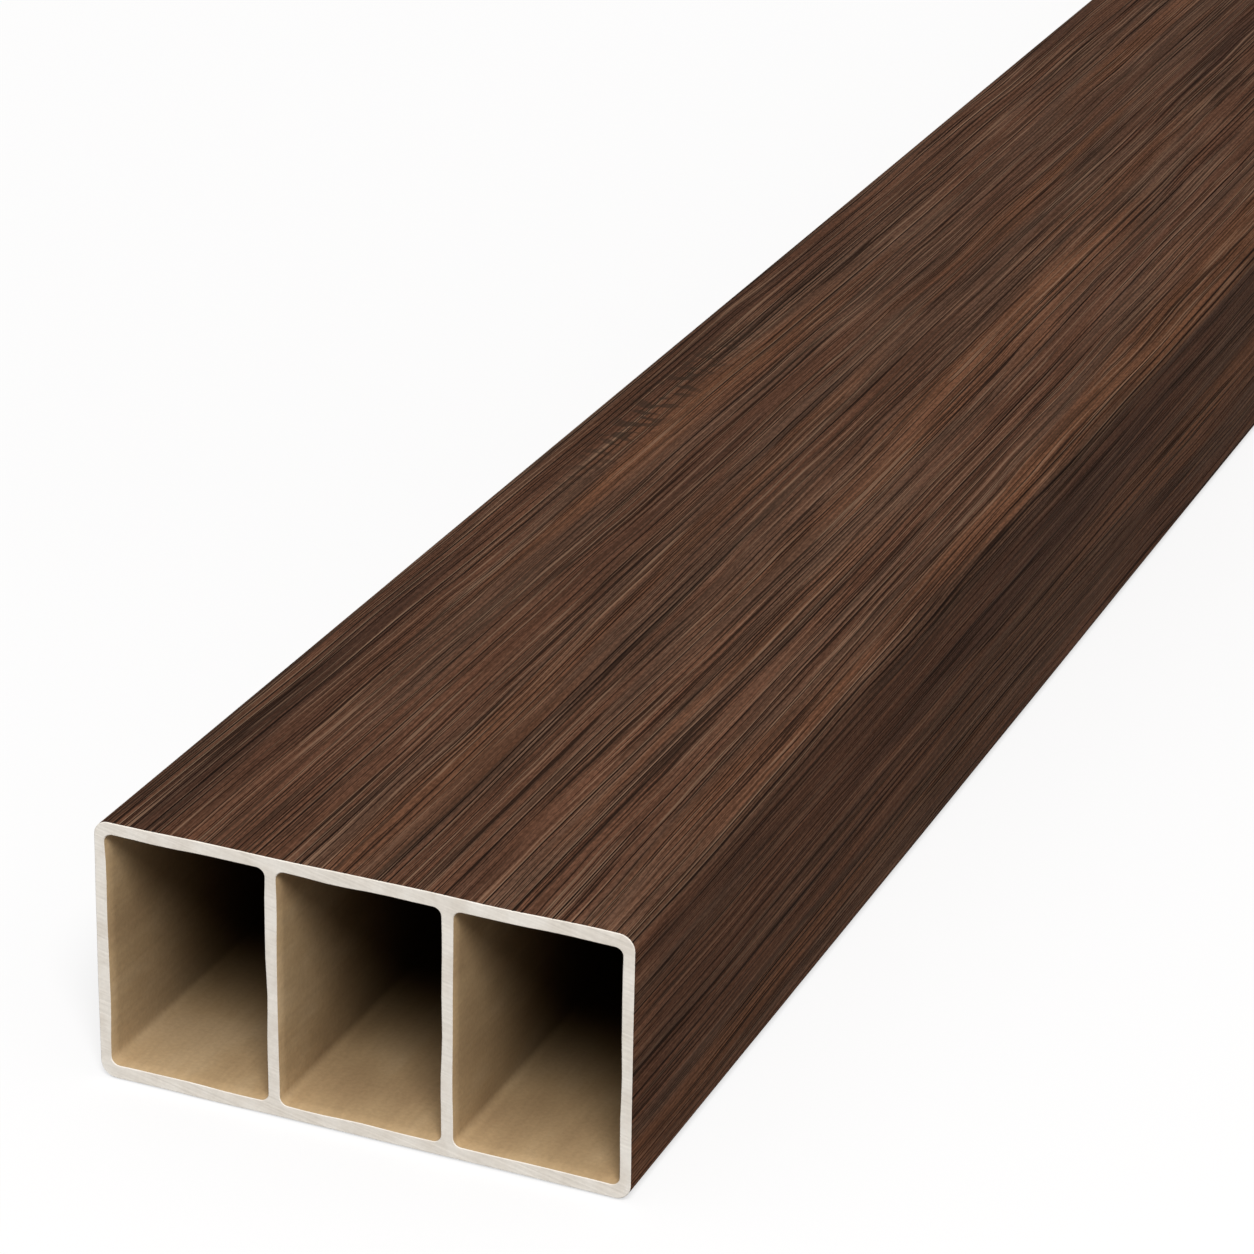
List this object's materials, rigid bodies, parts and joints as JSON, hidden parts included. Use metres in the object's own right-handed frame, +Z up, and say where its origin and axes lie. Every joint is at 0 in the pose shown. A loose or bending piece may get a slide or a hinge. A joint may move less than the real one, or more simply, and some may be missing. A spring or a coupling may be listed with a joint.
{
  "type": "hollow plastic moulding board",
  "caption": "Rectangular hollow plastic board with rounded long edges, split by upright webs into open chambers, with a dark wood-grain outside, for skirting, cladding or trim.",
  "frame": {"origin": "centre of the underside, halfway along the board", "axes": "+Y along the board's length, away from the end that the picture shows; +X across its width; +Z up, through its thickness, with the board lying on its wide face"},
  "size_m": [0.1, 2, 0.05],
  "materials": {
    "board": "dark wood-grain film, satin, embossed along its length; pale cream plastic where sawn and tan inside the chambers"
  },
  "bodies": {
    "root": {"board": "board"}
  },
  "joints": []
}
